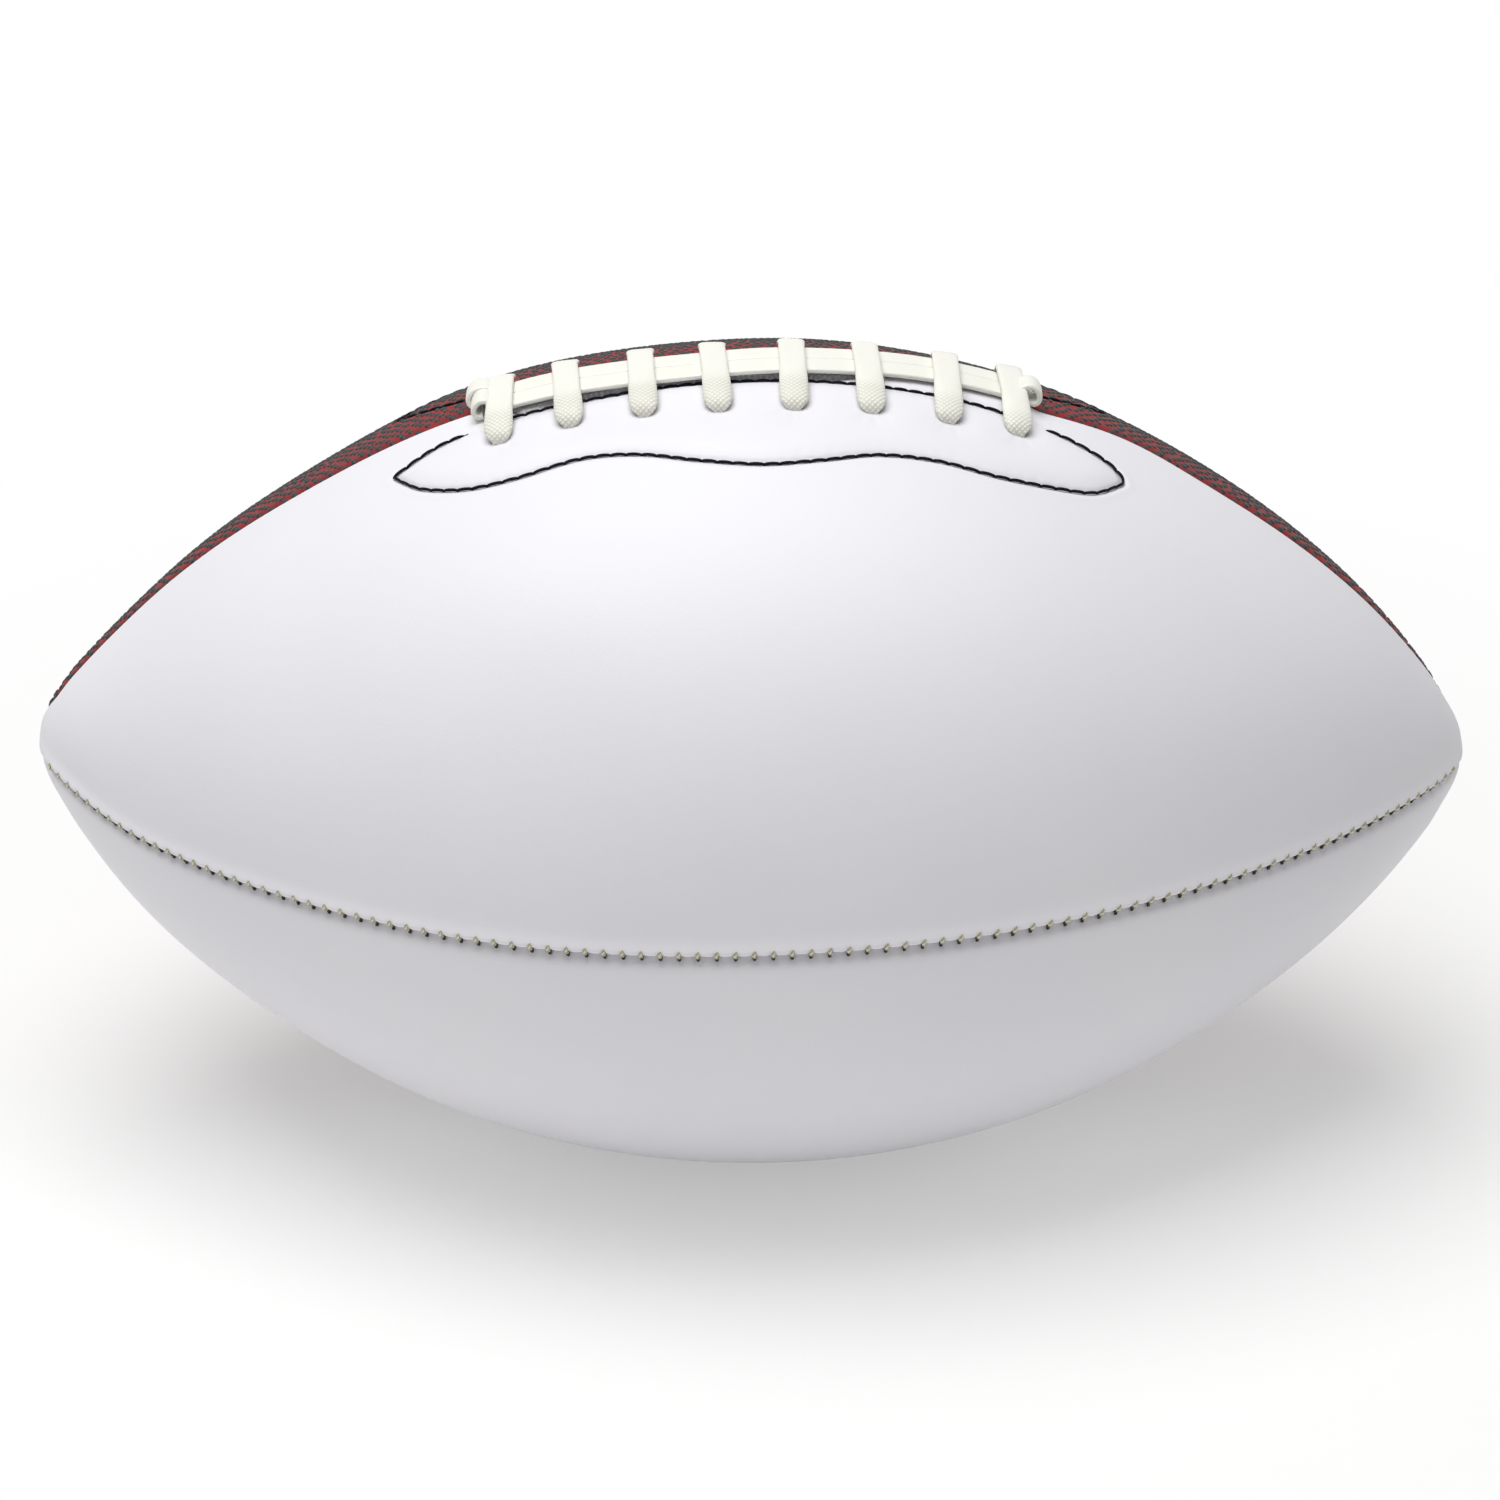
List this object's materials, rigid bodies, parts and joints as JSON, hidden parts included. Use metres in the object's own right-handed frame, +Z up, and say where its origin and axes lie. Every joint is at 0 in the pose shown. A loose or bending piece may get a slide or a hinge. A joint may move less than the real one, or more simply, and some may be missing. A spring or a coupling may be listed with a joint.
{
  "type": "american football",
  "caption": "Pointed oval ball of white and red-brown panels, laced along the top, with lined panels, a bladder and a needle valve.",
  "frame": {"origin": "on the ground, under the middle of the ball as it lies with its lace up", "axes": "+X along the ball from tip to tip, +Y towards the red-brown back panels, +Z up through the lace"},
  "size_m": [0.28, 0.1626, 0.1662],
  "materials": {
    "white_leather": "smooth satin coating with faint creases",
    "red_leather": "red ground with dark raised pebbles",
    "lining_cloth": "plain woven backing cloth",
    "patch_cloth": "firm woven reinforcement",
    "navy_thread": "twisted thread",
    "lace": "cream-white, finely pebbled",
    "tongue_cloth": "grey cloth",
    "cream_thread": "waxed thread",
    "bladder_rubber": "thin moulded rubber",
    "valve_rubber": "moulded rubber"
  },
  "bodies": {
    "root": {"panel_front_upper": "white_leather", "panel_front_lower": "white_leather", "panel_back_upper": "red_leather", "panel_back_lower": "red_leather", "lining_front_upper": "lining_cloth", "lining_front_lower": "lining_cloth", "lining_back_upper": "lining_cloth", "lining_back_lower": "lining_cloth", "lace_patch_front": "patch_cloth", "lace_patch_back": "patch_cloth", "patch_stitching_front": "navy_thread", "patch_stitching_back": "navy_thread", "lace": "lace", "lace_tongue": "tongue_cloth", "seam_thread_front": "cream_thread", "seam_thread_bottom": "cream_thread", "seam_thread_back": "cream_thread", "seam_thread_top_left": "cream_thread", "seam_thread_top_right": "cream_thread", "bladder": "bladder_rubber", "valve_body": "valve_rubber", "valve_core": "valve_rubber"}
  },
  "joints": []
}
